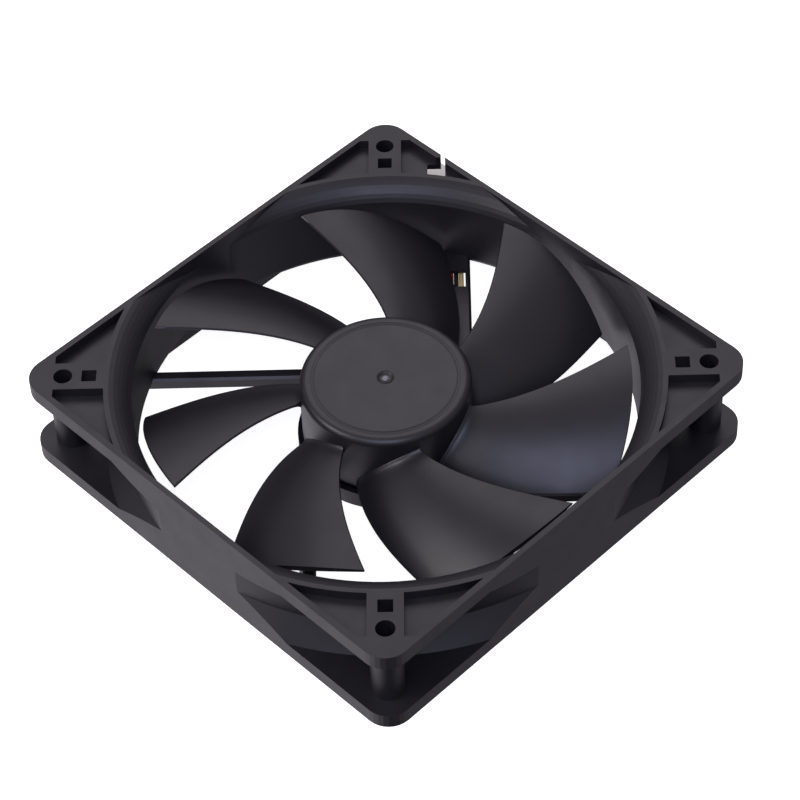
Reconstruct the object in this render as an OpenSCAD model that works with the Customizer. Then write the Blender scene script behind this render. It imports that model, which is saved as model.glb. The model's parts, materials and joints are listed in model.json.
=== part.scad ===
// Axial case fan, 120 mm size: a square moulded frame, a seven-bladed impeller on a
// four-pole outer-rotor motor, and three leads that end in a three-way connector.
// The origin is at the centre of the back (exhaust) face. +Z points against the air
// flow, from the exhaust face to the intake face.

/* [Frame] */
// Width of the square frame across its flats
body_w = 119.6; // [119.2:0.1:120]
// Depth of the frame along the air path
body_h = 25; // [25:0.5:26]
// Radius of the frame's four corners
corner_r = 6; // [5:0.5:8]
// Thickness of the intake and exhaust flanges
flange_t = 4; // [3.5:0.1:4.5]
// Distance between mounting holes along a side
hole_pitch = 105; // [105:0.1:105]
// Diameter of each mounting hole
hole_d = 4.4; // [4.2:0.1:4.6]
// Diameter of the post around each mounting hole
post_d = 7.6; // [7:0.1:8]

/* [Air duct] */
// Radius of the straight part of the duct
duct_r = 58.7; // [58:0.1:59]
// Radius of the flared mouths at both faces
mouth_r = 63.6; // [63.2:0.1:64]
// Height of each flare
flare_h = 4.2; // [4:0.1:4.6]
// How far the flare's surface bows into the air
flare_bow = 0.7; // [0.4:0.1:0.9]
// Thickness of the rim left along the flat sides
side_wall = 1.3; // [1:0.1:1.5]

/* [Corner pockets] */
// Depth of the pockets in the intake face
pocket_depth = 2.5; // [2:0.1:2.8]
// Outer radius of the rib around the intake mouth
rib_r = 64.8; // [64.6:0.1:65]
// Width of the solid bar along each diagonal
boss_w = 8; // [7.6:0.1:8.4]
// Distance from the axis at which the solid tip starts
tip_start = 76.3; // [76:0.1:76.8]
// Side of the square hole on each diagonal
key_hole = 3.4; // [3:0.1:3.6]

/* [Struts and motor base] */
// Radius of the motor base
base_r = 21.2; // [20.5:0.1:21.5]
// Thickness of the motor base's floor
base_floor = 1.5; // [1.4:0.1:1.6]
// Height of the motor base's rim
base_rim_h = 4.4; // [4:0.1:4.6]
// Height of the struts' top above the exhaust face
strut_top = 4.8; // [4.6:0.1:4.8]
// Width of the channel that carries the leads
channel_w = 4.6; // [4.4:0.1:4.8]

/* [Impeller] */
// Radius of the hub
hub_r = 20; // [20:0.1:20.2]
// Height of the hub's top above the exhaust face
hub_top = 22.1; // [22:0.1:22.4]
// Radius of the hub's rounded edge
hub_edge = 1.8; // [1.2:0.1:2]
// Number of blades
blade_count = 7; // [5:1:9]
// Radius of the blade tips
tip_r = 56.8; // [55.5:0.1:57]
// Thickness of a blade at the middle of its chord, measured along the axis
blade_t = 1.7; // [1.4:0.1:2]
// Thickness of a blade at its edges, measured along the axis
blade_edge_t = 0.8; // [0.7:0.1:1]

/* [Motor] */
// Radius of the shaft
shaft_r = 1.5; // [1.5:0.1:1.6]
// Radial clearance of the shaft in its bearing
shaft_gap = 0.04; // [0.02:0.01:0.08]
// Outer radius of the sleeve bearing
bearing_r = 3.5; // [3.4:0.1:3.6]
// Outer radius of the bearing tube
tube_r = 4.8; // [4.7:0.1:4.9]
// Outer radius of the stator core
core_r = 14.4; // [14.2:0.1:14.5]
// Height of the stator core's stack
core_h = 5; // [5:0.1:5]

/* [Leads] */
// Diameter of each insulated lead
lead_d = 1.2; // [1.2:0.1:1.2]
// Distance between neighbouring leads in the channel
lead_pitch = 1.25; // [1.25:0.05:1.3]

/* [Hidden] */
$fn = 96;
half_w = body_w / 2;
bore_half = half_w - side_wall;
duct_out_r = duct_r + 2.4;
flare_out_r = rib_r + 1.2;
flare_out_h = 5;
strut_foot = 0.3;
strut_mid = 16.9;
channel_top = 3.8;
channel_wall = 1.2;
notch_top = 3;
label_recess = 0.3;
board_z = 4.6;
board_t = 1;
board_r = 17.2;
core_z = 9.5;
core_top = core_z + core_h;
arm_w = 3.4;
coil_in = 7.8;
coil_out = 11.8;
coil_wire = 1.6;
tray_w = 4.4;
tray_t = 1.2;
skirt_z = 5.2;
cup_r = 18;
cup_ceiling = 20.3;
magnet_in_r = 15;
yoke_in_r = 17;
tube_top = 16.2;
yoke_z = 6.2;
magnet_z = 7;
magnet_top = 18;
shaft_z = 2.75;
groove_z = 3.9;
groove_h = 0.3;
plastic = [0.13, 0.13, 0.14];
steel = [0.72, 0.73, 0.75];
copper = [0.72, 0.38, 0.2];

// Hank of the free leads: two straight runs joined by round ends, two layers high
hank_y = 67.3;
hank_x = [-12, 36];
hank_base = 0.4;
turn_r = [6, 4.8, 3.6];
tie_t = 0.4;
tie_x = [10.5, 13.5];

// Blade edges as angles from the middle of the first blade's root gap, in degrees:
// root, middle control point and tip. The leading edge is the higher, forward one.
lead_edge = [80.1, 96.9, 104.5];
trail_edge = [37.6, 60.7, 70.2];
lead_z = [17.1, 22.2];
trail_z = [7.3, 9.1];
blade_bow = [1.4, 3.2];
root_r = hub_r - 0.8;
span_steps = 8;
chord_steps = 6;

// Free routes of the leads on the surface that the fan stands on, from the notch in
// the exhaust flange to the hank, and from the hank to the connector
yellow_start = [
    [-34.1, 59.8, 1.7], [-34.9, 60.6, 1.7], [-35.9, 61.7, 1.4], [-36.6, 63.3, 1],
    [-35.9, 65, 0.7], [-34.2, 65.7, 0.6], [-31.5, 65.5, 0.6], [-29, 65.1, 0.6],
    [-26.5, 64.3, 0.6], [-24, 63.3, 0.6], [-21.5, 62.3, 0.7], [-19, 61.6, 0.9],
    [-16.5, 61.3, 1], [-12, 61.3, 1]
];
black_start = [
    [-35.9, 59.8, 1.7], [-36.7, 60.6, 1.7], [-37.5, 61.9, 1.4], [-37.8, 63.3, 1],
    [-36.8, 65.8, 0.7], [-34.2, 66.9, 0.6], [-31.5, 66.8, 0.6], [-29, 66.4, 0.6],
    [-26.5, 65.7, 0.6], [-24, 64.7, 0.6], [-21.5, 63.6, 0.7], [-19, 62.8, 0.9],
    [-16.5, 62.5, 1], [-12, 62.5, 1]
];
red_start = [
    [-37.7, 59.8, 1.7], [-38.4, 60.5, 1.7], [-39, 61.8, 1.4], [-39.2, 63.3, 1],
    [-38.9, 65.2, 0.8], [-37.8, 66.8, 0.7], [-36, 67.8, 0.6], [-34.2, 68.2, 0.6],
    [-31.5, 68.1, 0.6], [-29, 67.8, 0.6], [-26.5, 67.1, 0.6], [-24, 66.1, 0.6],
    [-21.5, 64.9, 0.7], [-19, 64.1, 0.9], [-16.5, 63.7, 1], [-12, 63.7, 1]
];
yellow_tail = [
    [-12, 73.3, 2.2], [-17, 73.3, 2.2], [-19.5, 73.3, 2.1], [-22, 73.3, 1.8],
    [-24.5, 73.3, 1.3], [-27, 73.3, 0.8], [-29.5, 73.2, 0.6], [-32, 73, 0.6],
    [-34.5, 72.6, 0.6], [-37, 72.1, 0.8], [-39.5, 71.6, 1.3], [-42, 71.2, 2],
    [-44, 71, 2.5], [-46, 71, 2.6]
];
black_tail = [
    [-12, 72.1, 2.2], [-17, 72.1, 2.2], [-19.5, 72.1, 2.1], [-22, 72.1, 1.8],
    [-24.5, 72.1, 1.3], [-27, 72.1, 0.8], [-29.5, 71.9, 0.6], [-32, 71.6, 0.6],
    [-34.5, 71.1, 0.6], [-37, 70.4, 0.8], [-39.5, 69.6, 1.3], [-42, 68.9, 2],
    [-44, 68.5, 2.5], [-46, 68.5, 2.6]
];
red_tail = [
    [-12, 70.9, 2.2], [-17, 70.9, 2.2], [-19.5, 70.9, 2.1], [-22, 70.9, 1.8],
    [-24.5, 70.9, 1.3], [-27, 70.8, 0.8], [-29.5, 70.5, 0.6], [-32, 70.1, 0.6],
    [-34.5, 69.7, 0.6], [-37, 68.9, 0.8], [-39.5, 67.8, 1.3], [-42, 66.6, 2],
    [-44, 66.1, 2.5], [-46, 66, 2.6]
];
plug_x = [-58, -46];
plug_y = [64.6, 72.4];
plug_h = 5.2;
pin_pitch = 2.5;

// Vectors and curves
function unit(v) = v / norm(v);
function middle(pair) = (pair[0] + pair[1]) / 2;
function blend(pair, t) = pair[0] * (1 - t) + pair[1] * t;
function bend(three, t) =
    three[0] * (1 - t) * (1 - t) + three[1] * 2 * t * (1 - t) + three[2] * t * t;
function bowed(a, b, bow, steps) =
    let (side = unit([a[1] - b[1], b[0] - a[0]]))
    [for (i = [0:steps]) let (t = i / steps) a + (b - a) * t + side * bow * 4 * t * (1 - t)];
function arc(centre, r, from, to, steps) =
    [for (i = [0:steps]) let (a = from + (to - from) * i / steps) centre + r * [cos(a), sin(a)]];
function rounded_square(half, r, steps) = [
    for (k = [0:3])
        let (c = (half - r) * sqrt(2) * [cos(45 + 90 * k), sin(45 + 90 * k)])
        each arc(c, r, 90 * k, 90 * k + 90, steps)
];
// Turns a point of the diagonal frame, where x runs to the +X+Y corner, into body axes
function from_diagonal(p) = [(p[0] - p[1]) / sqrt(2), (p[0] + p[1]) / sqrt(2), p[2]];

// A point of a blade: u runs from trailing to leading edge, side is +1 above, -1 below
function blade_point(r, u, side) =
    let (t = (r - hub_r) / (tip_r - hub_r))
    let (a = bend(trail_edge, t) * (1 - u) + bend(lead_edge, t) * u)
    let (z = blend(trail_z, t) * (1 - u) + blend(lead_z, t) * u)
    let (thick = blade_edge_t + (blade_t - blade_edge_t) * sin(180 * u))
    [r * cos(a), r * sin(a), z + blend(blade_bow, t) * 4 * u * (1 - u) + side * thick / 2];
function blade_ring(r) = concat(
    [for (j = [0:chord_steps]) blade_point(r, j / chord_steps, 1)],
    [for (j = [chord_steps:-1:0]) blade_point(r, j / chord_steps, -1)]
);
function ring_sides(rings, count) = [
    for (i = [0:rings - 2])
        for (k = [0:count - 1])
            let (a = i * count + k, b = i * count + (k + 1) % count)
            each [[a, b, b + count], [a, b + count, a + count]]
];

// A tube of the given diameter along a list of points
module swept_tube(path, d, sides = 8) {
    n = len(path);
    points = [
        for (i = [0:n - 1])
            let (ahead = unit(path[min(i + 1, n - 1)] - path[max(i - 1, 0)]))
            let (across = unit(cross(ahead, [0, 0, 1])), up = cross(across, ahead))
            for (k = [0:sides - 1])
                let (a = 360 * (k + 0.5) / sides)
                path[i] + d / 2 * (cos(a) * across + sin(a) * up)
    ];
    first = [for (k = [sides - 1:-1:0]) k];
    last = [for (k = [0:sides - 1]) (n - 1) * sides + k];
    polyhedron(points, concat([first], [last], ring_sides(n, sides)));
}

module ring(r_out, r_in, z, h) {
    translate([0, 0, z])
        difference() {
            cylinder(r = r_out, h = h);
            translate([0, 0, -1]) cylinder(r = r_in, h = h + 2);
        }
}

// A box given by its lowest and highest corners
module box(low, high) {
    translate(low) cube(high - low);
}

// Frame
module outer_prism() {
    linear_extrude(body_h) polygon(rounded_square(half_w, corner_r, 8));
}

module duct_shell() {
    top = body_h - flange_t;
    rotate_extrude()
        polygon([
            [duct_r - 1, 0], [flare_out_r, 0], [flare_out_r, flange_t],
            [duct_out_r, flange_t + flare_out_h], [duct_out_r, top - flare_out_h],
            [flare_out_r, top], [flare_out_r, body_h], [duct_r - 1, body_h]
        ]);
}

module duct_bore() {
    low = bowed([mouth_r, 0], [duct_r, flare_h], flare_bow, 6);
    high = bowed([duct_r, body_h - flare_h], [mouth_r, body_h], flare_bow, 6);
    edge = concat([[0, -1], [mouth_r, -1]], low, high, [[mouth_r, body_h + 1], [0, body_h + 1]]);
    intersection() {
        rotate_extrude() polygon(edge);
        box([-bore_half, -bore_half, -2], [bore_half, bore_half, body_h + 2]);
    }
}

module corner_pockets() {
    floor_z = body_h - pocket_depth;
    inner = half_w - side_wall - 0.2;
    difference() {
        intersection() {
            box([-inner, -inner, floor_z], [inner, inner, body_h + 1]);
            rotate([0, 0, 45]) box([-tip_start, -tip_start, 0], [tip_start, tip_start, body_h + 2]);
        }
        translate([0, 0, -1]) cylinder(r = rib_r, h = body_h + 4);
        for (a = [45, 135])
            rotate([0, 0, a]) box([-100, -boss_w / 2, 0], [100, boss_w / 2, body_h + 2]);
    }
}

module mounting_holes(d, z, h) {
    for (sx = [-1, 1])
        for (sy = [-1, 1])
            translate([sx * hole_pitch / 2, sy * hole_pitch / 2, z]) cylinder(d = d, h = h, $fn = 48);
}

module key_holes() {
    for (k = [0:3])
        rotate([0, 0, 45 + 90 * k])
            translate([68.2, 0, body_h])
                cube([key_hole, key_hole, 2 * flange_t + 2], center = true);
}

// L-shaped slot in the intake flange that holds the leads when they are led forward
module cable_slot() {
    z0 = body_h - flange_t - 1;
    rotate([0, 0, 45])
        difference() {
            union() {
                box([10.4, 60, z0], [14.8, 69.8, body_h + 1]);
                box([13.8, 66, z0], [14.8, 80, body_h + 1]);
            }
            cylinder(r = rib_r + 0.3, h = body_h + 2);
        }
}

module strut_bar(profile) {
    translate([0, 66, 0])
        rotate([90, 0, 0])
            linear_extrude(58) polygon(profile);
}

module struts() {
    lean = [
        [17.6, strut_foot], [20.3, strut_foot], [19.3, strut_top - 0.5],
        [18.8, strut_top], [16.8, strut_top], [16.2, strut_top - 0.5]
    ];
    half = channel_w / 2 + channel_wall;
    channel = [
        [strut_mid - half, strut_foot], [strut_mid + half, strut_foot],
        [strut_mid + half, strut_top - 0.5], [strut_mid + half - 0.6, strut_top],
        [strut_mid - half + 0.6, strut_top], [strut_mid - half, strut_top - 0.5]
    ];
    difference() {
        intersection() {
            union() {
                rotate([0, 0, 45]) strut_bar(channel);
                for (k = [1:3])
                    rotate([0, 0, 45 - 90 * k]) strut_bar(lean);
            }
            cylinder(r = mouth_r + 0.8, h = 10);
        }
        translate([0, 0, -1]) cylinder(r = base_r - 0.8, h = 10);
    }
}

// The hollow under the lead strut, its window, and the notch through the flange
module lead_channel() {
    low = strut_mid - channel_w / 2;
    high = strut_mid + channel_w / 2;
    rotate([0, 0, 45]) {
        box([low, 4.5, base_floor], [high, 22, channel_top]);
        box([low, 21, -1], [high, 55.5, channel_top]);
        box([low, 55, -1], [high, 75, notch_top]);
        box([low, 45, channel_top - 1], [high, 50.5, strut_top + 1]);
    }
}

module lead_clips() {
    rotate([0, 0, 45])
        for (y = [29, 41])
            box([strut_mid - 2.5, y, strut_foot], [strut_mid + 2.5, y + 2, strut_foot + 1.2]);
}

module motor_base() {
    difference() {
        cylinder(r = base_r, h = base_rim_h);
        translate([0, 0, base_floor]) cylinder(r = base_r - 1.3, h = base_rim_h);
        translate([0, 0, -1]) cylinder(r = 17.3, h = 1 + label_recess);
    }
    translate([0, 0, label_recess]) cylinder(r = tube_r, h = tube_top - label_recess);
    for (a = [20, 150, 270])
        rotate([0, 0, a])
            translate([14, 0, base_floor - 0.2]) cylinder(r = 1.1, h = board_z - base_floor + 0.2, $fn = 32);
}

module frame() {
    color(plastic)
        difference() {
            union() {
                difference() {
                    intersection() {
                        outer_prism();
                        union() {
                            translate([-half_w, -half_w, 0]) cube([body_w, body_w, flange_t]);
                            translate([-half_w, -half_w, body_h - flange_t])
                                cube([body_w, body_w, flange_t]);
                            duct_shell();
                            mounting_holes(post_d, 1, body_h - 2);
                        }
                    }
                    duct_bore();
                    corner_pockets();
                    cable_slot();
                }
                struts();
                motor_base();
            }
            mounting_holes(hole_d, -1, body_h + 2);
            key_holes();
            lead_channel();
            translate([0, 0, -1]) cylinder(r = bearing_r, h = tube_top + 2);
        }
    color(plastic) lead_clips();
}

module rear_label() {
    color([0.55, 0.56, 0.58])
        translate([0, 0, 0.05]) cylinder(r = 17, h = label_recess - 0.05);
}

// Bearing and shaft support
module rear_plug() {
    color([0.2, 0.2, 0.2])
        difference() {
            translate([0, 0, 0.4]) cylinder(r = bearing_r, h = 2.5);
            translate([0, 0, 2.1]) cylinder(r = 2.5, h = 2);
        }
}

module thrust_pad() {
    color([0.92, 0.9, 0.82])
        translate([0, 0, 2.1]) cylinder(r = 2.5, h = 0.6);
}

module sleeve_bearing() {
    color([0.7, 0.52, 0.28]) ring(bearing_r, shaft_r + shaft_gap, 4.6, 10.6);
}

module oil_washer() {
    color([0.9, 0.88, 0.8]) ring(bearing_r, shaft_r + 0.4, 15.2, 0.5);
}

// Stator
module pole_arms(r0, r1, w, z, h) {
    for (k = [0:3])
        rotate([0, 0, 90 * k]) box([r0, -w / 2, z], [r1, w / 2, z + h]);
}

module stator_core() {
    color([0.5, 0.5, 0.52])
        union() {
            ring(7.2, tube_r, core_z, core_h);
            pole_arms(6.8, 12.8, arm_w, core_z, core_h);
            difference() {
                ring(core_r, 12.4, core_z, core_h);
                for (k = [0:3])
                    rotate([0, 0, 45 + 90 * k]) box([10, -1.7, core_z - 1], [16, 1.7, core_top + 1]);
            }
        }
}

module pin_positions() {
    for (k = [0:3])
        rotate([0, 0, 45 + 90 * k]) translate([6.2, 0, 0]) children();
}

module lower_insulator() {
    color([0.9, 0.88, 0.82])
        difference() {
            union() {
                ring(7.4, tube_r, board_z + board_t, core_z - board_z - board_t);
                pole_arms(7, 12.4, tray_w, core_z - tray_t, tray_t);
                pole_arms(coil_out, 12.4, 8.8, 6.5, core_z - 6.5);
            }
            pin_positions() translate([0, 0, 5]) cylinder(r = 0.3, h = 2.5, $fn = 24);
        }
}

module upper_insulator() {
    color([0.9, 0.88, 0.82])
        union() {
            ring(7.4, tube_r, core_top, 1.9);
            pole_arms(7, 12.4, tray_w, core_top, tray_t);
            pole_arms(coil_out, 12.4, 8.8, core_top, 3);
        }
}

// Winding around the pole arm that points at angle a
module coil(a) {
    low = core_z - tray_t;
    high = core_top + tray_t;
    hw = tray_w / 2;
    color(copper)
        rotate([0, 0, a])
            difference() {
                union() {
                    box([coil_in, -hw - coil_wire, low], [coil_out, hw + coil_wire, high]);
                    box([coil_in, -hw, low - coil_wire], [coil_out, hw, high + coil_wire]);
                    for (y = [-hw, hw])
                        for (z = [low, high])
                            translate([coil_in, y, z])
                                rotate([0, 90, 0])
                                    cylinder(r = coil_wire, h = coil_out - coil_in, $fn = 32);
                }
                box([coil_in - 1, -hw, low], [coil_out + 1, hw, high]);
            }
}

module coil_1() { coil(0); }
module coil_2() { coil(90); }
module coil_3() { coil(180); }
module coil_4() { coil(270); }

module coil_pins() {
    color(steel)
        pin_positions() translate([0, 0, 3.8]) cylinder(r = 0.3, h = 3.7, $fn = 24);
}

// Electronics
module circuit_board() {
    color([0.1, 0.3, 0.16])
        difference() {
            ring(board_r, tube_r + 0.1, board_z, board_t);
            pin_positions() translate([0, 0, 3]) cylinder(r = 0.3, h = 4, $fn = 24);
        }
}

module hall_sensor() {
    color([0.1, 0.1, 0.1])
        rotate([0, 0, 225]) box([13.6, -1.5, 5.6], [16.5, 1.5, 6.5]);
}

module driver_chip() {
    rotate([0, 0, 195]) {
        color([0.1, 0.1, 0.1]) box([8, -2.5, 3.2], [11.9, 2.5, 4.5]);
        color(steel)
            for (x = [7.1, 11.9])
                for (k = [0:3])
                    box([x, -2.1 + 1.27 * k, 4.1], [x + 0.9, -1.7 + 1.27 * k, board_z]);
    }
}

module capacitor() {
    color([0.75, 0.6, 0.35])
        rotate([0, 0, 235]) box([9, -1.6, 3.2], [10.8, 1.6, board_z]);
}

module resistors() {
    color([0.15, 0.15, 0.18])
        for (a = [305, 330, 350])
            rotate([0, 0, a]) box([9.5, -1, 4], [10.7, 1, board_z]);
}

// Leads held in the channel: from the board's pads to the notch in the flange
function held_route(s) = [
    for (p = [
        [s - 2.4, 1.5, 3.9], [s - 1.8, 3.5, 3.6], [s - 0.8, 6, 3.2], [s, 8.5, 3.1],
        [s, 12, 3.1], [s, 25, 3.1], [s, 40, 3.1], [s, 50, 3.1], [s, 52, 2.8],
        [s, 54, 2.3], [s, 56, 2.1], [s, 60, 1.8], [s, 63, 1.7],
        [s, half_w * sqrt(2) - s, 1.7]
    ]) from_diagonal(p)
];

module black_lead_held() {
    color([0.06, 0.06, 0.06]) swept_tube(held_route(strut_mid), lead_d);
}

module red_lead_held() {
    color([0.7, 0.1, 0.08]) swept_tube(held_route(strut_mid - lead_pitch), lead_d);
}

module yellow_lead_held() {
    color([0.9, 0.78, 0.3]) swept_tube(held_route(strut_mid + lead_pitch), lead_d);
}

// Rotor
module hub() {
    edge = arc([hub_r - hub_edge, hub_top - hub_edge], hub_edge, 90, 0, 6);
    rotate_extrude()
        polygon(concat(
            [
                [0, hub_top - 0.1], [0.9, hub_top - 0.1], [1.1, hub_top - 0.4],
                [1.7, hub_top - 0.4], [2, hub_top], [16.6, hub_top],
                [16.8, hub_top - 0.12], [17.1, hub_top - 0.12], [17.3, hub_top]
            ],
            edge,
            [
                [hub_r, skirt_z], [cup_r, skirt_z], [cup_r, cup_ceiling],
                [5.2, cup_ceiling], [5.2, 17.2], [3.6, 17.2], [3.6, cup_ceiling],
                [0, cup_ceiling]
            ]
        ));
}

module blade() {
    count = 2 * (chord_steps + 1);
    rings = span_steps + 1;
    points = [
        for (i = [0:span_steps]) each blade_ring(blend([root_r, tip_r], i / span_steps))
    ];
    last = span_steps * count;
    root_cap = [
        for (j = [0:chord_steps - 1])
            each [[j + 1, j, count - 1 - j], [j + 1, count - 1 - j, count - 2 - j]]
    ];
    tip_cap = [for (f = root_cap) [f[2] + last, f[1] + last, f[0] + last]];
    polyhedron(points, concat(ring_sides(rings, count), root_cap, tip_cap));
}

module impeller() {
    color(plastic)
        union() {
            hub();
            for (k = [0:blade_count - 1])
                rotate([0, 0, 360 * k / blade_count]) blade();
        }
}

module rotor_yoke() {
    color(steel)
        union() {
            ring(cup_r, yoke_in_r, yoke_z, cup_ceiling - yoke_z);
            ring(yoke_in_r + 0.2, 13, cup_ceiling - 1, 1);
        }
}

module ring_magnet() {
    color([0.25, 0.22, 0.2]) ring(yoke_in_r, magnet_in_r, magnet_z, magnet_top - magnet_z);
}

module shaft() {
    color(steel)
        difference() {
            translate([0, 0, shaft_z]) cylinder(r = shaft_r, h = cup_ceiling - shaft_z, $fn = 48);
            ring(shaft_r + 1, shaft_r - 0.3, groove_z, groove_h);
        }
}

module shaft_bush() {
    color([0.78, 0.62, 0.3]) ring(3.6, shaft_r, 16.9, cup_ceiling - 16.9);
}

module retaining_ring() {
    color([0.15, 0.15, 0.16])
        difference() {
            ring(2.5, shaft_r - 0.3, groove_z, groove_h);
            box([0, -0.35, groove_z - 1], [4, 0.35, groove_z + 1]);
        }
}

// Free leads, hank, tie and connector
module free_lead(start, tail) {
    swept_tube(start, lead_d);
    swept_tube(tail, lead_d);
}

module black_lead() {
    color([0.06, 0.06, 0.06]) free_lead(black_start, black_tail);
}

module red_lead() {
    color([0.7, 0.1, 0.08]) free_lead(red_start, red_tail);
}

module yellow_lead() {
    color([0.9, 0.78, 0.3]) free_lead(yellow_start, yellow_tail);
}

module stadium(r, z, h) {
    for (x = hank_x)
        translate([x, hank_y, z]) cylinder(r = r, h = h, $fn = 64);
    box([hank_x[0], hank_y - r, z], [hank_x[1], hank_y + r, z + h]);
}

module lead_hank() {
    color([0.25, 0.1, 0.1])
        difference() {
            stadium(turn_r[0] + lead_d / 2, hank_base, 2 * lead_d);
            stadium(turn_r[2] - lead_d / 2, -1, 6);
        }
}

module hank_tie() {
    y = turn_r[0] + lead_d / 2;
    top = hank_base + 2 * lead_d;
    color([0.1, 0.1, 0.1])
        difference() {
            box([tie_x[0], hank_y - y - tie_t, 0], [tie_x[1], hank_y + y + tie_t, top + tie_t]);
            box([tie_x[0] - 1, hank_y - y, hank_base], [tie_x[1] + 1, hank_y + y, top]);
        }
}

module terminal_cells(w, x0, x1) {
    for (k = [-1:1])
        translate([0, middle(plug_y) + k * pin_pitch, plug_h / 2])
            box([x0, -w / 2, -w / 2], [x1, w / 2, w / 2]);
}

module connector_housing() {
    color([0.93, 0.92, 0.88])
        difference() {
            box([plug_x[0], plug_y[0], 0], [plug_x[1], plug_y[1], plug_h]);
            terminal_cells(1.8, plug_x[0] - 1, plug_x[1] - 1.6);
        }
}

module connector_terminals() {
    color(steel)
        difference() {
            terminal_cells(1.5, plug_x[0] + 0.6, plug_x[1] - 1.6);
            terminal_cells(0.9, plug_x[0], plug_x[0] + 6);
        }
}

frame();
rear_label();
rear_plug();
thrust_pad();
sleeve_bearing();
oil_washer();
lower_insulator();
stator_core();
upper_insulator();
coil_1();
coil_2();
coil_3();
coil_4();
coil_pins();
circuit_board();
hall_sensor();
driver_chip();
capacitor();
resistors();
black_lead_held();
red_lead_held();
yellow_lead_held();
impeller();
rotor_yoke();
ring_magnet();
shaft();
shaft_bush();
retaining_ring();
black_lead();
red_lead();
yellow_lead();
lead_hank();
hank_tie();
connector_housing();
connector_terminals();
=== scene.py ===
import json
import math

import bmesh
import bpy
from mathutils import Matrix, Vector


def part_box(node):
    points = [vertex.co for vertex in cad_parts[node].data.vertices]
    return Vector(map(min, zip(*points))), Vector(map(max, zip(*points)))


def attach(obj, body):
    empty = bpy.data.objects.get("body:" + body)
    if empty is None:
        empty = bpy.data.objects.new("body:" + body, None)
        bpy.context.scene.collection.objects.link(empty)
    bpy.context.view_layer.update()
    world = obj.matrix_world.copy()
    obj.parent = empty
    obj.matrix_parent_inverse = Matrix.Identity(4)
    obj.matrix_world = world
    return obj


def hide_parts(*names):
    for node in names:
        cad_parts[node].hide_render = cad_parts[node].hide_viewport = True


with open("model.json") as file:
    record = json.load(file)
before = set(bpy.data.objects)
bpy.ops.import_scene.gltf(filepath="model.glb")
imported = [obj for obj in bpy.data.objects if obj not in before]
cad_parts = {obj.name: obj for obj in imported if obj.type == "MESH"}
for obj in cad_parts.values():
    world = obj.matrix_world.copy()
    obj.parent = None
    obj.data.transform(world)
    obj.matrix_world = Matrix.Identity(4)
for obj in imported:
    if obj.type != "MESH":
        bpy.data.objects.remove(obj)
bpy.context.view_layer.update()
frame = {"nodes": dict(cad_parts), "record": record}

MM = 0.001


# ---------------------------------------------------------------- camera

def way_to(azimuth, elevation):
    """The unit vector towards a place given by the same angles as the camera."""
    az, el = math.radians(azimuth), math.radians(elevation)
    return Vector((math.sin(az) * math.cos(el), -math.cos(az) * math.cos(el), math.sin(el)))


def make_camera(target, azimuth, elevation, distance, roll, lens, shift):
    """A camera that looks at target; azimuth is measured from -Y towards +X."""
    az = math.radians(azimuth)
    back = way_to(azimuth, elevation)
    right = Vector((math.cos(az), math.sin(az), 0))
    up = back.cross(right)
    turn = math.radians(roll)
    right_r = right * math.cos(turn) - up * math.sin(turn)
    up_r = right * math.sin(turn) + up * math.cos(turn)
    data = bpy.data.cameras.new("camera")
    cam = bpy.data.objects.new("camera", data)
    bpy.context.scene.collection.objects.link(cam)
    place = Matrix((right_r, up_r, back)).transposed().to_4x4()
    place.translation = Vector(target) + back * distance
    cam.matrix_world = place
    data.lens = lens
    data.sensor_width = 36
    data.shift_x, data.shift_y = shift
    data.clip_start = 0.01
    bpy.context.scene.camera = cam


frame_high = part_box("frame")[1]
FRAME_TOP = frame_high.z
make_camera(
    target=(0, 0, FRAME_TOP),
    azimuth=47.09, elevation=47.80, distance=0.6494, roll=2.882,
    lens=127.28, shift=(0.01878, -0.03898),
)


# ---------------------------------------------------------------- materials

# The part of a noise's or a wave's range over which a colour or a gloss changes
MIDDLE = (0.3, 0.7)
# Spacing of the circuit board's ring tracks, in metres
TRACK_PITCH = 0.0018


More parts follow.
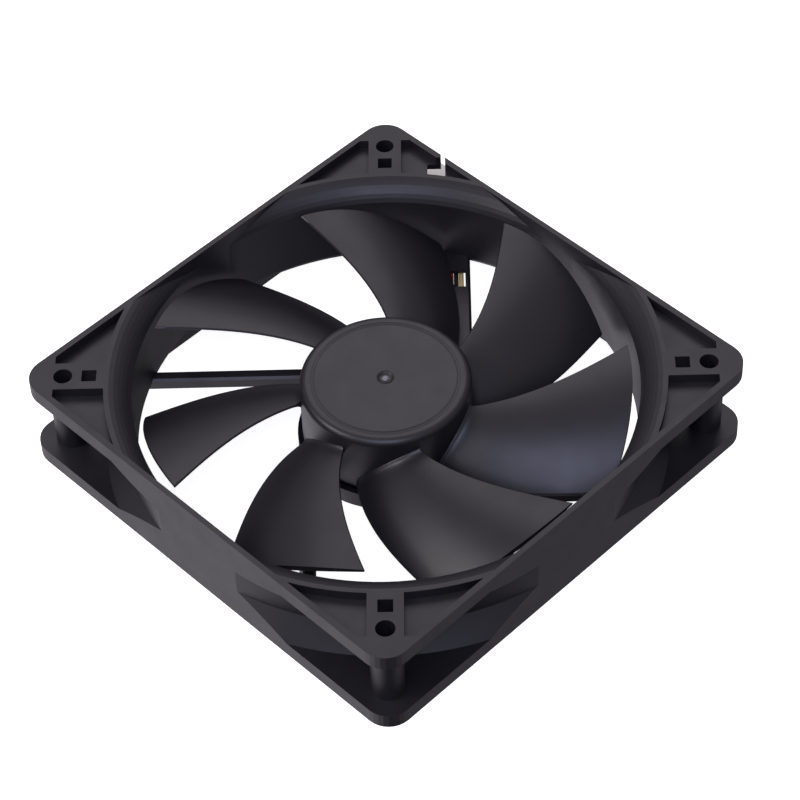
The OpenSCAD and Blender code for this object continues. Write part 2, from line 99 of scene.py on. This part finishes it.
class Surface:
    """A Principled material with helpers that hang procedural detail on its sockets."""

    def __init__(self, name, colour, roughness, metallic=0.0):
        self.mat = bpy.data.materials.new(name)
        self.mat.use_nodes = True
        self.tree = self.mat.node_tree
        self.shader = self.tree.nodes["Principled BSDF"]
        self.shader.inputs["Base Color"].default_value = (*colour, 1)
        self.shader.inputs["Roughness"].default_value = roughness
        self.shader.inputs["Metallic"].default_value = metallic
        self.coords = self.tree.nodes.new("ShaderNodeTexCoord").outputs["Object"]
        self.height = None

    def node(self, kind, **values):
        """A new node; each value is one of its settings or, failing that, one of its inputs."""
        made = self.tree.nodes.new(kind)
        for key, value in values.items():
            if hasattr(made, key):
                setattr(made, key, value)
            else:
                made.inputs[key].default_value = value
        return made

    def link(self, a, b):
        self.tree.links.new(a, b)

    def noise(self, size, detail=3.0, rough=0.5, stretch=(1, 1, 1)):
        """A noise value whose features are about size metres across."""
        mapping = self.node("ShaderNodeMapping")
        mapping.inputs["Scale"].default_value = [s / size for s in stretch]
        self.link(self.coords, mapping.inputs["Vector"])
        made = self.node("ShaderNodeTexNoise", Scale=1.0, Detail=detail, Roughness=rough)
        self.link(mapping.outputs["Vector"], made.inputs["Vector"])
        return made.outputs["Fac"]

    def vary_colour(self, value, first, second):
        """The base colour goes from first to second over the middle of the value's range."""
        ramp = self.node("ShaderNodeValToRGB")
        ramp.color_ramp.elements[0].position, ramp.color_ramp.elements[1].position = MIDDLE
        ramp.color_ramp.elements[0].color = (*first, 1)
        ramp.color_ramp.elements[1].color = (*second, 1)
        self.link(value, ramp.inputs["Fac"])
        self.link(ramp.outputs["Color"], self.shader.inputs["Base Color"])

    def vary_roughness(self, value, low, high):
        """The roughness goes from low to high over the middle of the value's range."""
        made = self.node("ShaderNodeMapRange")
        made.inputs["From Min"].default_value, made.inputs["From Max"].default_value = MIDDLE
        made.inputs["To Min"].default_value = low
        made.inputs["To Max"].default_value = high
        self.link(value, made.inputs["Value"])
        self.link(made.outputs["Result"], self.shader.inputs["Roughness"])

    def bump(self, value, depth, strength=1.0):
        """Adds relief of that depth, in metres, to what is there already."""
        made = self.node("ShaderNodeBump", Strength=strength, Distance=depth)
        self.link(value, made.inputs["Height"])
        if self.height is not None:
            self.link(self.height, made.inputs["Normal"])
        self.link(made.outputs["Normal"], self.shader.inputs["Normal"])
        self.height = made.outputs["Normal"]


def moulded(name, dark, light, roughness, grain=0.00035, depth=0.000012):
    """Moulded plastic: fine spark-eroded grain, faint flow mottling and uneven gloss."""
    s = Surface(name, dark, roughness)
    s.vary_colour(s.noise(0.018, 4.0), dark, light)
    s.vary_roughness(s.noise(0.006, 3.0), roughness - 0.02, roughness + 0.03)
    s.bump(s.noise(0.004, 2.0), depth, 0.25)
    s.bump(s.noise(grain, 4.0, 0.6), depth)
    return s.mat


def metal(name, first, second, roughness, stretch=(1, 1, 1), size=0.0006, depth=0.000004):
    """Bare metal with streaks or grain drawn out along stretch."""
    s = Surface(name, first, roughness, metallic=1.0)
    s.vary_colour(s.noise(0.003, 3.0, stretch=stretch), first, second)
    s.vary_roughness(s.noise(size * 3, 3.0, stretch=stretch), roughness - 0.08, roughness + 0.08)
    s.bump(s.noise(size, 4.0, stretch=stretch), depth)
    return s.mat


def insulation(name, colour):
    """Soft vinyl: a faint wave along it and small marks in the gloss."""
    s = Surface(name, colour, 0.42)
    lighter = [min(1.0, c * 1.25 + 0.004) for c in colour]
    s.vary_colour(s.noise(0.005, 2.0), colour, lighter)
    s.vary_roughness(s.noise(0.0012, 3.0), 0.34, 0.5)
    s.bump(s.noise(0.0016, 2.0), 0.00002, 0.6)
    return s.mat


def banded(name, first, second, roughness, axis, spacing, depth):
    """Fine metal bands along one axis, two to the spacing: stacked sheets or wound wire."""
    s = Surface(name, first, roughness, metallic=1.0)
    wave = s.node("ShaderNodeTexWave", wave_type="BANDS", bands_direction=axis)
    wave.inputs["Scale"].default_value = 2 * math.pi / (10 * spacing)
    wave.inputs["Distortion"].default_value = 0.4
    wave.inputs["Detail"].default_value = 1.0
    s.link(s.coords, wave.inputs["Vector"])
    s.vary_colour(wave.outputs["Fac"], second, first)
    s.vary_roughness(s.noise(0.001, 3.0), roughness - 0.08, roughness + 0.08)
    s.bump(wave.outputs["Fac"], depth)
    return s.mat


def tracked_board(name, bare, over_copper):
    """Green solder mask, paler and slightly raised over the copper tracks that ring the hole."""
    s = Surface(name, bare, 0.3)
    rings = s.node("ShaderNodeTexWave", wave_type="RINGS", rings_direction="Z")
    rings.inputs["Scale"].default_value = math.pi / (10 * TRACK_PITCH)
    rings.inputs["Distortion"].default_value = 0.8
    s.link(s.coords, rings.inputs["Vector"])
    s.vary_colour(rings.outputs["Fac"], bare, over_copper)
    s.vary_roughness(s.noise(0.004, 3.0), 0.26, 0.36)
    s.bump(rings.outputs["Fac"], 0.00003)
    return s.mat


MATERIALS = {
    "frame_plastic": moulded(
        "black_frame_plastic", (0.0125, 0.0115, 0.0135), (0.016, 0.0145, 0.017), 0.42),
    "impeller_plastic": moulded(
        "black_impeller_plastic", (0.0125, 0.0115, 0.0135), (0.016, 0.0145, 0.017), 0.38,
        grain=0.0003, depth=0.000008),
    "label_foil": moulded("label_foil", (0.36, 0.37, 0.39), (0.42, 0.43, 0.45), 0.34,
                          grain=0.0002, depth=0.000003),
    "dark_polymer": moulded("dark_polymer", (0.03, 0.03, 0.033), (0.045, 0.045, 0.05), 0.5),
    "wear_polymer": moulded("wear_polymer", (0.78, 0.74, 0.63), (0.84, 0.81, 0.72), 0.35),
    "sintered_bronze": metal("sintered_bronze", (0.42, 0.27, 0.11), (0.56, 0.38, 0.18), 0.5,
                             size=0.00015, depth=0.00001),
    "insulator_nylon": moulded("insulator_nylon", (0.72, 0.68, 0.56), (0.8, 0.77, 0.67), 0.42),
    "lamination_steel": banded("lamination_steel", (0.4, 0.4, 0.42), (0.12, 0.11, 0.11), 0.45,
                               "Z", 0.0005, 0.00003),
    "magnet_wire": banded("magnet_wire", (0.62, 0.24, 0.08), (0.25, 0.08, 0.025), 0.28,
                          "DIAGONAL", 0.0003, 0.00006),
    "pin_steel": metal("pin_steel", (0.7, 0.7, 0.7), (0.82, 0.82, 0.8), 0.25),
    "board": tracked_board("board", (0.012, 0.1, 0.032), (0.03, 0.19, 0.07)),
    "chip_epoxy": moulded("chip_epoxy", (0.016, 0.016, 0.017), (0.024, 0.024, 0.025), 0.55,
                          grain=0.00015),
    "ceramic_tan": moulded("ceramic_tan", (0.46, 0.31, 0.14), (0.55, 0.4, 0.2), 0.4,
                           grain=0.0002),
    "resistor_film": moulded("resistor_film", (0.02, 0.02, 0.024), (0.035, 0.035, 0.04), 0.25,
                             grain=0.0002),
    "black_insulation": insulation("black_insulation", (0.012, 0.012, 0.013)),
    "red_insulation": insulation("red_insulation", (0.42, 0.022, 0.014)),
    "yellow_insulation": insulation("yellow_insulation", (0.8, 0.58, 0.22)),
    "yoke_steel": metal("yoke_steel", (0.5, 0.51, 0.53), (0.6, 0.61, 0.63), 0.32,
                        stretch=(1, 1, 0.15)),
    "ferrite": moulded("ferrite", (0.045, 0.042, 0.042), (0.065, 0.06, 0.06), 0.55,
                       grain=0.0002),
    "shaft_steel": metal("shaft_steel", (0.72, 0.72, 0.73), (0.8, 0.8, 0.8), 0.16,
                         stretch=(1, 1, 0.1)),
    "bush_brass": metal("bush_brass", (0.64, 0.44, 0.16), (0.74, 0.54, 0.24), 0.28,
                        stretch=(0.2, 0.2, 1)),
    "tie_polymer": moulded("tie_polymer", (0.014, 0.014, 0.015), (0.022, 0.022, 0.024), 0.38),
    "housing_nylon": moulded("housing_nylon", (0.74, 0.72, 0.64), (0.8, 0.78, 0.71), 0.4,
                             grain=0.0004),
    "terminal_tin": metal("terminal_tin", (0.68, 0.66, 0.62), (0.8, 0.78, 0.74), 0.3),
    "hank_insulation": insulation("hank_insulation", (0.1, 0.03, 0.03)),
}
SLOT_OF = {p["node"]: p["material_slot"] for p in frame["record"]["subparts"]}


def paint(obj, slot):
    """Gives a piece the material of one of the record's slots."""
    obj.data.materials.clear()
    obj.data.materials.append(MATERIALS[slot])


for node, cad_piece in frame["nodes"].items():
    paint(cad_piece, SLOT_OF[node])


# ---------------------------------------------------------------- leads

# From here on, sizes and places are in millimetres unless a comment says otherwise
LEAD_R = 0.6
LEAD_PITCH = 1.25
LINE_STEP = 0.8
STRUT_MID = 16.9
LEADS = ("yellow", "black", "red")
# The hank's middle line, its two ends, each lead's radius round them, and its two layers
HANK_Y = 67.3
HANK_X = (-12, 36)
TURN_R = {"yellow": 6.0, "black": 4.8, "red": 3.6}
LAYER_Z = (1.0, 2.2)

# Free routes from the notch to the hank, and from the hank to the plug
START = {
    "yellow": [
        (-34.1, 59.8, 1.7), (-34.9, 60.6, 1.7), (-35.9, 61.7, 1.4), (-36.6, 63.3, 1),
        (-35.9, 65, 0.7), (-34.2, 65.7, 0.6), (-31.5, 65.5, 0.6), (-29, 65.1, 0.6),
        (-26.5, 64.3, 0.6), (-24, 63.3, 0.6), (-21.5, 62.3, 0.7), (-19, 61.6, 0.9),
        (-16.5, 61.3, 1), (-12, 61.3, 1)],
    "black": [
        (-35.9, 59.8, 1.7), (-36.7, 60.6, 1.7), (-37.5, 61.9, 1.4), (-37.8, 63.3, 1),
        (-36.8, 65.8, 0.7), (-34.2, 66.9, 0.6), (-31.5, 66.8, 0.6), (-29, 66.4, 0.6),
        (-26.5, 65.7, 0.6), (-24, 64.7, 0.6), (-21.5, 63.6, 0.7), (-19, 62.8, 0.9),
        (-16.5, 62.5, 1), (-12, 62.5, 1)],
    "red": [
        (-37.7, 59.8, 1.7), (-38.4, 60.5, 1.7), (-39, 61.8, 1.4), (-39.2, 63.3, 1),
        (-38.9, 65.2, 0.8), (-37.8, 66.8, 0.7), (-36, 67.8, 0.6), (-34.2, 68.2, 0.6),
        (-31.5, 68.1, 0.6), (-29, 67.8, 0.6), (-26.5, 67.1, 0.6), (-24, 66.1, 0.6),
        (-21.5, 64.9, 0.7), (-19, 64.1, 0.9), (-16.5, 63.7, 1), (-12, 63.7, 1)],
}
TAIL = {
    "yellow": [
        (-12, 73.3, 2.2), (-17, 73.3, 2.2), (-19.5, 73.3, 2.1), (-22, 73.3, 1.8),
        (-24.5, 73.3, 1.3), (-27, 73.3, 0.8), (-29.5, 73.2, 0.6), (-32, 73, 0.6),
        (-34.5, 72.6, 0.6), (-37, 72.1, 0.8), (-39.5, 71.6, 1.3), (-42, 71.2, 2),
        (-44, 71, 2.5), (-46, 71, 2.6)],
    "black": [
        (-12, 72.1, 2.2), (-17, 72.1, 2.2), (-19.5, 72.1, 2.1), (-22, 72.1, 1.8),
        (-24.5, 72.1, 1.3), (-27, 72.1, 0.8), (-29.5, 71.9, 0.6), (-32, 71.6, 0.6),
        (-34.5, 71.1, 0.6), (-37, 70.4, 0.8), (-39.5, 69.6, 1.3), (-42, 68.9, 2),
        (-44, 68.5, 2.5), (-46, 68.5, 2.6)],
    "red": [
        (-12, 70.9, 2.2), (-17, 70.9, 2.2), (-19.5, 70.9, 2.1), (-22, 70.9, 1.8),
        (-24.5, 70.9, 1.3), (-27, 70.8, 0.8), (-29.5, 70.5, 0.6), (-32, 70.1, 0.6),
        (-34.5, 69.7, 0.6), (-37, 68.9, 0.8), (-39.5, 67.8, 1.3), (-42, 66.6, 2),
        (-44, 66.1, 2.5), (-46, 66, 2.6)],
}


def half_turn(x, r, start_deg, z0, z1, rise):
    """Points around one end of the hank; the height changes within the rise span, in degrees."""
    steps = 12
    points = []
    for i in range(1, steps):
        a = 180 * i / steps
        t = min(1, max(0, (a - rise[0]) / (rise[1] - rise[0])))
        smooth = t * t * (3 - 2 * t)
        angle = math.radians(start_deg + a)
        points.append((x + r * math.cos(angle), HANK_Y + r * math.sin(angle),
                       z0 + (z1 - z0) * smooth))
    return points


def straight(x0, x1, y, z):
    """The points inside a straight run of the hank, without its two ends."""
    steps = 6
    return [(x0 + (x1 - x0) * i / steps, y, z) for i in range(1, steps)]


def hank_turns(name):
    """Near run, turn, far run, rising turn, near run above, turn, far run above."""
    r = TURN_R[name]
    x0, x1 = HANK_X
    near, far = HANK_Y - r, HANK_Y + r
    low, high = LAYER_Z
    level = (0, 180)
    points = straight(x0, x1, near, low) + [(x1, near, low)]
    points += half_turn(x1, r, -90, low, low, level) + [(x1, far, low)]
    points += straight(x1, x0, far, low) + [(x0, far, low)]
    points += half_turn(x0, r, 90, low, high, (50, 130)) + [(x0, near, high)]
    points += straight(x0, x1, near, high) + [(x1, near, high)]
    points += half_turn(x1, r, -90, high, high, level) + [(x1, far, high)]
    points += straight(x1, x0, far, high)
    return points


def smooth_line(points):
    """Points in metres along a Catmull-Rom curve through these, which are in millimetres."""
    dense = []
    for i in range(len(points) - 1):
        p0, p1 = Vector(points[max(i - 1, 0)]), Vector(points[i])
        p2, p3 = Vector(points[i + 1]), Vector(points[min(i + 2, len(points) - 1)])
        steps = max(2, round((p2 - p1).length / LINE_STEP))
        for k in range(steps):
            t = k / steps
            dense.append(0.5 * MM * (
                2 * p1 + (p2 - p0) * t + (2 * p0 - 5 * p1 + 4 * p2 - p3) * t * t
                + (3 * p1 - p0 - 3 * p2 + p3) * t ** 3))
    dense.append(Vector(points[-1]) * MM)
    return dense


def smooth_tube(name, line, radius):
    """A closed round mesh tube whose rings are centred on the points of the line."""
    curve = bpy.data.curves.new(name + "_line", "CURVE")
    curve.dimensions = "3D"
    curve.bevel_depth = radius * MM
    curve.bevel_resolution = 5
    curve.use_fill_caps = True
    spline = curve.splines.new("POLY")
    spline.points.add(len(line) - 1)
    for point, place in zip(spline.points, line):
        point.co = (*place, 1)
    holder = bpy.data.objects.new(name + "_line", curve)
    mesh = bpy.data.meshes.new_from_object(holder)
    bpy.data.objects.remove(holder)
    bpy.data.curves.remove(curve)
    mesh.name = name
    for face in mesh.polygons:
        face.use_smooth = len(face.vertices) == 4
    obj = bpy.data.objects.new(name, mesh)
    bpy.context.scene.collection.objects.link(obj)
    return obj


def held_route(offset):
    """The lead inside the fan, from the board's pad along the strut to the notch."""
    s = STRUT_MID + offset
    side = frame_high.y / MM * math.sqrt(2) - s
    route = [
        (s - 2.4, 1.5, 3.9), (s - 1.8, 3.5, 3.6), (s - 0.8, 6, 3.2), (s, 8.5, 3.1),
        (s, 12, 3.1), (s, 25, 3.1), (s, 40, 3.1), (s, 50, 3.1), (s, 52, 2.8),
        (s, 54, 2.3), (s, 56, 2.1), (s, 60, 1.8), (s, 63, 1.7), (s, side, 1.7)]
    half = math.sqrt(0.5)
    return [((x - y) * half, (x + y) * half, z) for x, y, z in route]


def make_leads():
    """Each lead in two pieces: one held in the strut's channel, and one free to its plug."""
    for k, name in enumerate(LEADS):
        offset = (1 - k) * LEAD_PITCH
        slot = name + "_insulation"
        held = smooth_tube(
            name + "_lead_in_channel", smooth_line(held_route(offset)), LEAD_R)
        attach(held, "stator")
        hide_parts(name + "_lead_held")
        paint(held, slot)
        route = smooth_line(START[name] + hank_turns(name) + TAIL[name])
        free = smooth_tube(name + "_free_lead", route, LEAD_R)
        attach(free, "stator")
        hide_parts(name + "_lead", "lead_hank")
        paint(free, slot)


make_leads()


# ---------------------------------------------------------------- impeller

def mesh_object(name, bm):
    """Makes a smooth-shaded object of a bmesh, which it uses up."""
    mesh = bpy.data.meshes.new(name)
    bm.to_mesh(mesh)
    bm.free()
    for face in mesh.polygons:
        face.use_smooth = True
    obj = bpy.data.objects.new(name, mesh)
    bpy.context.scene.collection.objects.link(obj)
    return obj


HUB_R = 20.0
HUB_TOP = 22.1
TIP_R = 56.8
BLADES = 7
# Angles in degrees at the root, halfway and at the tip, of each edge as seen from above
LEAD_EDGE = (80.1, 96.9, 104.5)
TRAIL_EDGE = (37.6, 60.7, 70.2)
# Heights of each edge, and of the blade's bow between them, at the root and at the tip
LEAD_Z = (17.1, 22.2)
TRAIL_Z = (7.3, 9.1)
BOW = (1.4, 3.2)
# Thickness at the middle of the chord and at the edges, and how far the edges are rounded
BLADE_T = 1.6
EDGE_T = 0.75
EDGE_OUT = 0.3
# How much the root thickens at the hub, how fast that fades, and where it ends
ROOT_FILLET = 1.6
FILLET_FADE = 0.55
FILLET_END = 3.0
CHORD_STEPS = 22


def bend(three, t):
    """A quadratic curve through the first and last value, drawn towards the middle one."""
    return three[0] * (1 - t) ** 2 + three[1] * 2 * t * (1 - t) + three[2] * t * t


def mix(pair, t):
    """The value a share t of the way from the first to the second."""
    return pair[0] * (1 - t) + pair[1] * t


def blade_point(r, u, side):
    """A point of a blade: u runs from trailing to leading edge, side is +1 above, -1 below."""
    t = (r - HUB_R) / (TIP_R - HUB_R)
    angle = math.radians(bend(TRAIL_EDGE, t) * (1 - u) + bend(LEAD_EDGE, t) * u)
    z = mix(TRAIL_Z, t) * (1 - u) + mix(LEAD_Z, t) * u + mix(BOW, t) * 4 * u * (1 - u)
    thick = EDGE_T + (BLADE_T - EDGE_T) * math.sin(math.pi * u)
    past_hub = max(0, r - HUB_R)
    fillet = ROOT_FILLET * math.exp(-past_hub / FILLET_FADE) if past_hub < FILLET_END else 0
    return Vector((r * math.cos(angle), r * math.sin(angle), z + side * (thick + fillet) / 2))


def blade_radii():
    """Radii of a blade's sections, close together at its root fillet and at its tip."""
    root = [HUB_R + step for step in (-0.7, 0, 0.3, 0.7, 1.2, 1.9, FILLET_END)]
    span = TIP_R - root[-1]
    return root + [root[-1] + span * i / 20 for i in range(1, 20)] + [TIP_R - 0.35, TIP_R - 0.1]


def blade_section(r, chord):
    """A blade's outline at one radius: over it, its leading edge, under it, its trailing edge."""
    over = [blade_point(r, u, 1) for u in chord]
    under = [blade_point(r, u, -1) for u in reversed(chord)]
    forward = Matrix.Rotation(EDGE_OUT / r, 3, "Z")
    leading = forward @ ((over[-1] + under[0]) / 2)
    trailing = forward.inverted() @ ((over[0] + under[-1]) / 2)
    return over + [leading] + under + [trailing]


def close_root(bm, ring, count):
    """Closes a blade inside the hub, straight across; count is the points along its chord."""
    last = 2 * count
    for j in range(count - 1):
        bm.faces.new((ring[j + 1], ring[last - j - 1], ring[last - j], ring[j]))
    bm.faces.new((ring[0], ring[last], ring[last + 1]))
    bm.faces.new((ring[count], ring[count + 1], ring[count - 1]))


def close_tip(bm, ring, middle):
    """Rounds off a blade's end, from its outline to the points along the middle of its chord."""
    count = len(middle)
    last = 2 * count
    for j in range(count - 1):
        bm.faces.new((ring[j], middle[j], middle[j + 1], ring[j + 1]))
        bm.faces.new((middle[j], ring[last - j], ring[last - j - 1], middle[j + 1]))
    bm.faces.new((ring[0], ring[last + 1], ring[last], middle[0]))
    bm.faces.new((middle[-1], ring[count + 1], ring[count], ring[count - 1]))


def add_blade(bm, turn):
    """One blade as a closed skin with rounded edges all the way round its outline."""
    chord = [0.5 - 0.5 * math.cos(math.pi * j / CHORD_STEPS) for j in range(CHORD_STEPS + 1)]
    spin = Matrix.Rotation(turn, 3, "Z")
    rings = [
        [bm.verts.new(spin @ point * MM) for point in blade_section(r, chord)]
        for r in blade_radii()]
    for inner, outer in zip(rings, rings[1:]):
        for k in range(len(inner)):
            n = (k + 1) % len(inner)
            bm.faces.new((inner[k], outer[k], outer[n], inner[n]))
    middle = [(blade_point(TIP_R, u, 1) + blade_point(TIP_R, u, -1)) / 2 for u in chord]
    close_root(bm, rings[0], len(chord))
    close_tip(bm, rings[-1], [bm.verts.new(spin @ point * MM) for point in middle])


def add_lathe(bm, profile, segments, closed=True):
    """Turns a profile of (radius, height) points about Z; closed joins its last to its first."""
    rings = []
    for r, z in profile:
        if r < 1e-6:
            rings.append([bm.verts.new((0, 0, z * MM))])
        else:
            rings.append([
                bm.verts.new((r * math.cos(2 * math.pi * k / segments) * MM,
                              r * math.sin(2 * math.pi * k / segments) * MM, z * MM))
                for k in range(segments)])
    pairs = list(zip(rings, rings[1:]))
    if closed:
        pairs.append((rings[-1], rings[0]))
    for a, b in pairs:
        for k in range(segments):
            n = (k + 1) % segments
            if len(a) == 1 and len(b) == 1:
                break
            if len(a) == 1:
                bm.faces.new((a[0], b[k], b[n]))
            elif len(b) == 1:
                bm.faces.new((a[k], b[0], a[n]))
            else:
                bm.faces.new((a[k], b[k], b[n], a[n]))


def rounded(centre, r, from_deg, to_deg, steps):
    """Points of a profile along an arc."""
    return [
        (centre[0] + r * math.cos(math.radians(from_deg + (to_deg - from_deg) * i / steps)),
         centre[1] + r * math.sin(math.radians(from_deg + (to_deg - from_deg) * i / steps)))
        for i in range(steps + 1)]


def hub_profile():
    """The hub from its dimple over the shallow ring groove and its edge, then up inside."""
    top = HUB_TOP
    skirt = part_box("impeller")[0].z / MM
    edge, lip, inner_lip = 1.8, 0.3, 0.2
    cup, ceiling, mid = 18.0, 20.3, 12
    bush_outer, bush_inner, bush_end = 5.2, 3.6, 17.2
    return (
        [(0, top - 0.45), (1.25, top - 0.45), (1.5, top - 0.38), (1.8, top - 0.1),
         (2.05, top), (2.3, top),
         (9, top), (16.3, top), (16.55, top), (16.75, top - 0.1), (17.15, top - 0.1),
         (17.35, top), (17.6, top)]
        + rounded((HUB_R - edge, top - edge), edge, 90, 0, 9)
        + [(HUB_R, mid), (HUB_R, skirt + 2 * lip)]
        + rounded((HUB_R - lip, skirt + lip), lip, 0, -90, 3)
        + rounded((cup + inner_lip, skirt + inner_lip), inner_lip, -90, -180, 3)
        + [(cup, mid), (cup, ceiling), (bush_outer, ceiling), (bush_outer, bush_end),
           (bush_inner, bush_end), (bush_inner, ceiling), (0, ceiling)])


def make_impeller():
    """The hub and its blades, which stands in for the faceted CAD one."""
    bm = bmesh.new()
    add_lathe(bm, hub_profile(), 160, closed=False)
    bmesh.ops.recalc_face_normals(bm, faces=bm.faces[:])
    for k in range(BLADES):
        add_blade(bm, 2 * math.pi * k / BLADES)
    obj = mesh_object("moulded_impeller", bm)
    obj.data.set_sharp_from_angle(angle=math.radians(50))
    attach(obj, "rotor")
    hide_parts("impeller")
    paint(obj, "impeller_plastic")


def make_gate_mark():
    """The stub of the moulding gate in the hub's dimple, painted pale as a highlight."""
    bm = bmesh.new()
    top = HUB_TOP
    add_lathe(
        bm, [(0, top - 0.02), (0.35, top - 0.04), (0.62, top - 0.12), (0.8, top - 0.28),
             (0.86, top - 0.47), (0, top - 0.47)], 32, closed=False)
    bmesh.ops.recalc_face_normals(bm, faces=bm.faces[:])
    obj = mesh_object("hub_gate_mark", bm)
    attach(obj, "rotor")
    # The stub's pale colour is a painted highlight, not the plastic's own tone
    obj.data.materials.append(
        moulded("gate_painted_highlight", (0.16, 0.16, 0.175), (0.3, 0.3, 0.32), 0.4))


make_impeller()
make_gate_mark()


# ---------------------------------------------------------------- solder

PIN_R = 6.2
# Radii and depths below the board
PIN_SOLDER = ((0.28, 0), (0.28, 0.75), (0.4, 0.62), (0.52, 0.35), (0.78, 0.1), (1.0, 0))
PAD_SOLDER = ((0, 1.15), (0.5, 1.05), (0.8, 0.7), (0.9, 0.3), (1.15, 0), (0, 0))


def add_joint(bm, profile, x, y):
    """One joint that hangs from the board, with its middle at x, y."""
    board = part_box("circuit_board")[0].z / MM
    before = len(bm.verts)
    add_lathe(bm, [(r, board - depth) for r, depth in profile], 24, closed=profile[0][0] > 0)
    bmesh.ops.translate(bm, vec=(x * MM, y * MM, 0), verts=bm.verts[:][before:])


def make_solder():
    """A cone at each of the coils' pins and a drop at the board end of each lead."""
    bm = bmesh.new()
    for k in range(4):
        angle = math.radians(45 + 90 * k)
        add_joint(bm, PIN_SOLDER, PIN_R * math.cos(angle), PIN_R * math.sin(angle))
    for k in (-1, 0, 1):
        x, y, _ = held_route(k * LEAD_PITCH)[0]
        add_joint(bm, PAD_SOLDER, x, y)
    bmesh.ops.recalc_face_normals(bm, faces=bm.faces[:])
    obj = mesh_object("solder_joints", bm)
    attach(obj, "stator")
    paint(obj, "pin_steel")


make_solder()


# ---------------------------------------------------------------- edges of CAD pieces

def soften(node, width):
    """Rounds the edges of a CAD piece without touching its own mesh."""
    obj = frame["nodes"][node]
    weld = obj.modifiers.new("weld", "WELD")
    weld.merge_threshold = 0.000002
    bevel = obj.modifiers.new("bevel", "BEVEL")
    bevel.width = width * MM
    bevel.segments = 2
    bevel.limit_method = "ANGLE"
    bevel.angle_limit = math.radians(30)
    bevel.harden_normals = True
    bevel.miter_outer = "MITER_ARC"
    bevel.use_clamp_overlap = False


for piece, bevel_width in (
        ("connector_housing", 0.2), ("hank_tie", 0.12),
        ("driver_chip", 0.06), ("capacitor", 0.1), ("resistors", 0.08), ("hall_sensor", 0.1),
        ("coil_1", 0.3), ("coil_2", 0.3), ("coil_3", 0.3), ("coil_4", 0.3),
        ("lower_insulator", 0.12), ("upper_insulator", 0.12), ("shaft", 0.1),
        ("rotor_yoke", 0.12), ("ring_magnet", 0.15), ("sleeve_bearing", 0.12),
        ("shaft_bush", 0.1), ("rear_plug", 0.1), ("rear_label", 0.03)):
    soften(piece, bevel_width)


# ---------------------------------------------------------------- stage and light

def make_floor():
    """A bright floor behind the object; it casts no light of its own on the dark plastic."""
    bm = bmesh.new()
    bmesh.ops.create_grid(bm, x_segments=2, y_segments=2, size=3)
    floor = mesh_object("floor", bm)
    floor.location.z = -0.00005
    floor.visible_diffuse = False
    floor.visible_glossy = False
    s = Surface("pale_floor", (0.86, 0.86, 0.87), 0.6)
    s.vary_roughness(s.noise(0.3, 2.0), 0.55, 0.65)
    s.shader.inputs["Emission Color"].default_value = (1, 1, 1, 1)
    s.shader.inputs["Emission Strength"].default_value = 0.9
    floor.data.materials.append(s.mat)


def softbox(name, azimuth, elevation, distance, size, power, colour):
    """An area light aimed at the fan, in metres and watts, placed by the camera's angles."""
    way = way_to(azimuth, elevation)
    data = bpy.data.lights.new(name, "AREA")
    data.shape = "RECTANGLE"
    data.size, data.size_y = size
    data.energy = power
    data.color = colour
    obj = bpy.data.objects.new(name, data)
    obj.location = way * distance + Vector((0, 0, FRAME_TOP / 2))
    obj.rotation_euler = way.to_track_quat("Z", "Y").to_euler()
    bpy.context.scene.collection.objects.link(obj)


def add_lobe(tree, place, way, start, end, low, high):
    """Strength that goes from low to high as the cosine to that way goes from start to end."""
    facing = tree.nodes.new("ShaderNodeVectorMath")
    facing.operation = "DOT_PRODUCT"
    facing.inputs[1].default_value = way
    tree.links.new(place, facing.inputs[0])
    part = tree.nodes.new("ShaderNodeMapRange")
    part.interpolation_type = "SMOOTHSTEP"
    for socket, value in (
            ("From Min", start), ("From Max", end), ("To Min", low), ("To Max", high)):
        part.inputs[socket].default_value = value
    tree.links.new(facing.outputs["Value"], part.inputs["Value"])
    return part.outputs["Result"]


def make_sky():
    """Soft light from all round, and two pale places low down that the frame's sides mirror."""
    world = bpy.data.worlds.new("studio")
    world.use_nodes = True
    tree = world.node_tree
    place = tree.nodes.new("ShaderNodeTexCoord").outputs["Generated"]
    total = add_lobe(tree, place, Vector((0, 0, 1)), -0.6, 1.0, 0.09, 0.38)
    for lobe in (
            add_lobe(tree, place, way_to(-47, -46), 0.6, 0.97, 0.0, 0.95),
            add_lobe(tree, place, way_to(133, -46), 0.75, 0.97, 0.0, 0.26)):
        add = tree.nodes.new("ShaderNodeMath")
        tree.links.new(total, add.inputs[0])
        tree.links.new(lobe, add.inputs[1])
        total = add.outputs["Value"]
    background = tree.nodes["Background"]
    background.inputs["Color"].default_value = (0.95, 0.9, 1, 1)
    tree.links.new(total, background.inputs["Strength"])
    bpy.context.scene.world = world


def make_light():
    """Three soft lamps round the fan: one to the left, one behind it and a bluish one in front."""
    softbox("key", -30, 42, 1.1, (0.45, 0.45), 4.0, (1, 0.95, 0.98))
    softbox("far", 227, 50, 1.2, (0.9, 0.6), 2.6, (1, 0.94, 0.98))
    softbox("front", 44, 54, 1.2, (0.5, 0.65), 5.0, (0.64, 0.68, 1))
    make_sky()
    bpy.context.scene.view_settings.view_transform = "Standard"


make_floor()
make_light()
